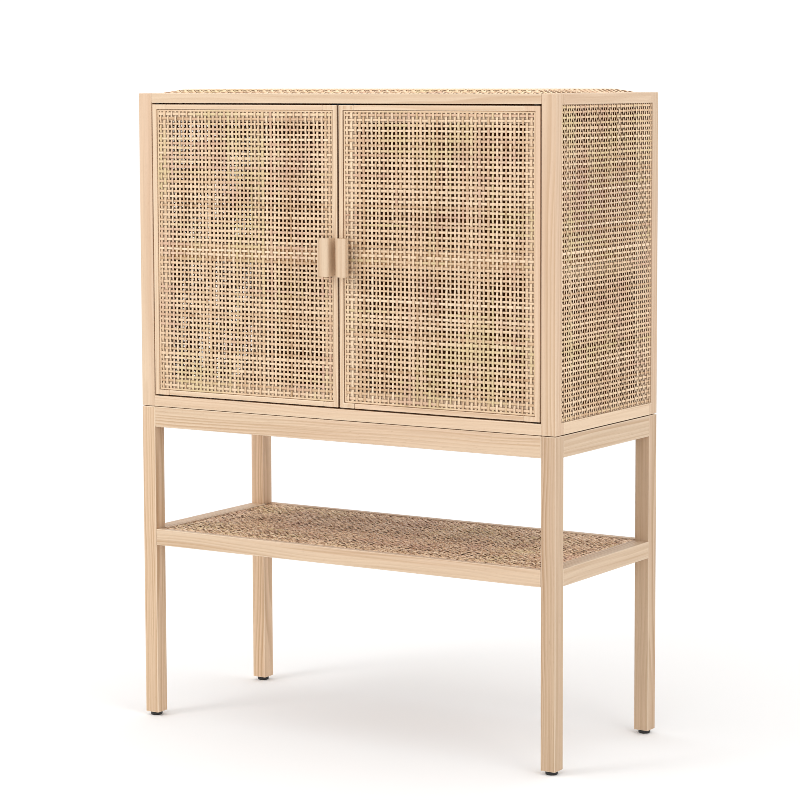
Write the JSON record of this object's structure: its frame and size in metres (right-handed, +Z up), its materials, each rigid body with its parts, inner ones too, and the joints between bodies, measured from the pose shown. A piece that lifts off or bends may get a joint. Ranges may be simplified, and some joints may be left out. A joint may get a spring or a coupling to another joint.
{
  "type": "cane cabinet on open stand",
  "caption": "Low-depth cabinet with two inset cane doors above an open stand with square legs and a cane-covered lower shelf.",
  "frame": {"origin": "on the floor, under the middle of the outline with the handles", "axes": "+Z up, +X to the right of a person facing the doors, -Y to the front"},
  "size_m": [0.8, 0.365, 1.0687],
  "materials": {
    "wood": "matt, clear-lacquered pale pine with fine straight grain",
    "plywood": "matt, sanded plywood",
    "cane": "natural woven cane with a slight sheen",
    "steel": "satin",
    "black_plastic": "matt"
  },
  "bodies": {
    "carcass": {"leg_front_left": "wood", "foot_front_left": "black_plastic", "leg_rear_left": "wood", "foot_rear_left": "black_plastic", "leg_front_right": "wood", "foot_front_right": "black_plastic", "leg_rear_right": "wood", "foot_rear_right": "black_plastic", "apron_front": "wood", "apron_rear": "wood", "apron_left": "wood", "apron_right": "wood", "lower_shelf_rail_front": "wood", "lower_shelf_rail_rear": "wood", "lower_shelf_rail_left": "wood", "lower_shelf_rail_right": "wood", "lower_shelf_board": "plywood", "lower_shelf_cane": "cane", "post_front_left": "wood", "post_rear_left": "wood", "post_front_right": "wood", "post_rear_right": "wood", "case_top_rail_front": "wood", "case_top_rail_rear": "wood", "case_top_rail_left": "wood", "case_top_rail_right": "wood", "case_bottom_rail_front": "wood", "case_bottom_rail_rear": "wood", "case_bottom_rail_left": "wood", "case_bottom_rail_right": "wood", "top_board": "plywood", "top_cane": "cane", "side_cane_left": "cane", "side_cane_right": "cane", "back_panel": "plywood", "bottom_board": "plywood", "inner_shelf": "plywood", "shelf_cleat_left": "wood", "shelf_cleat_right": "wood", "magnetic_catch": "black_plastic", "pivot_bottom_left": "steel", "pivot_top_left": "steel", "pivot_bottom_right": "steel", "pivot_top_right": "steel"},
    "left_door": {"door_left_outer_stile": "wood", "door_left_inner_stile": "wood", "door_left_bottom_rail": "wood", "door_left_middle_rail": "wood", "door_left_top_rail": "wood", "door_left_cane": "cane", "door_left_handle": "wood", "door_left_strike_plate": "steel"},
    "right_door": {"door_right_outer_stile": "wood", "door_right_inner_stile": "wood", "door_right_bottom_rail": "wood", "door_right_middle_rail": "wood", "door_right_top_rail": "wood", "door_right_cane": "cane", "door_right_handle": "wood", "door_right_strike_plate": "steel"}
  },
  "joints": [
    {"name": "left_door_hinge", "type": "hinge", "parent": "carcass", "child": "left_door", "pos_m": [-0.3629, -0.156, 0.8], "axis": [0, 0, -1], "range_deg": [0, 110]},
    {"name": "right_door_hinge", "type": "hinge", "parent": "carcass", "child": "right_door", "pos_m": [0.3629, -0.156, 0.8], "axis": [0, 0, 1], "range_deg": [0, 110]}
  ]
}
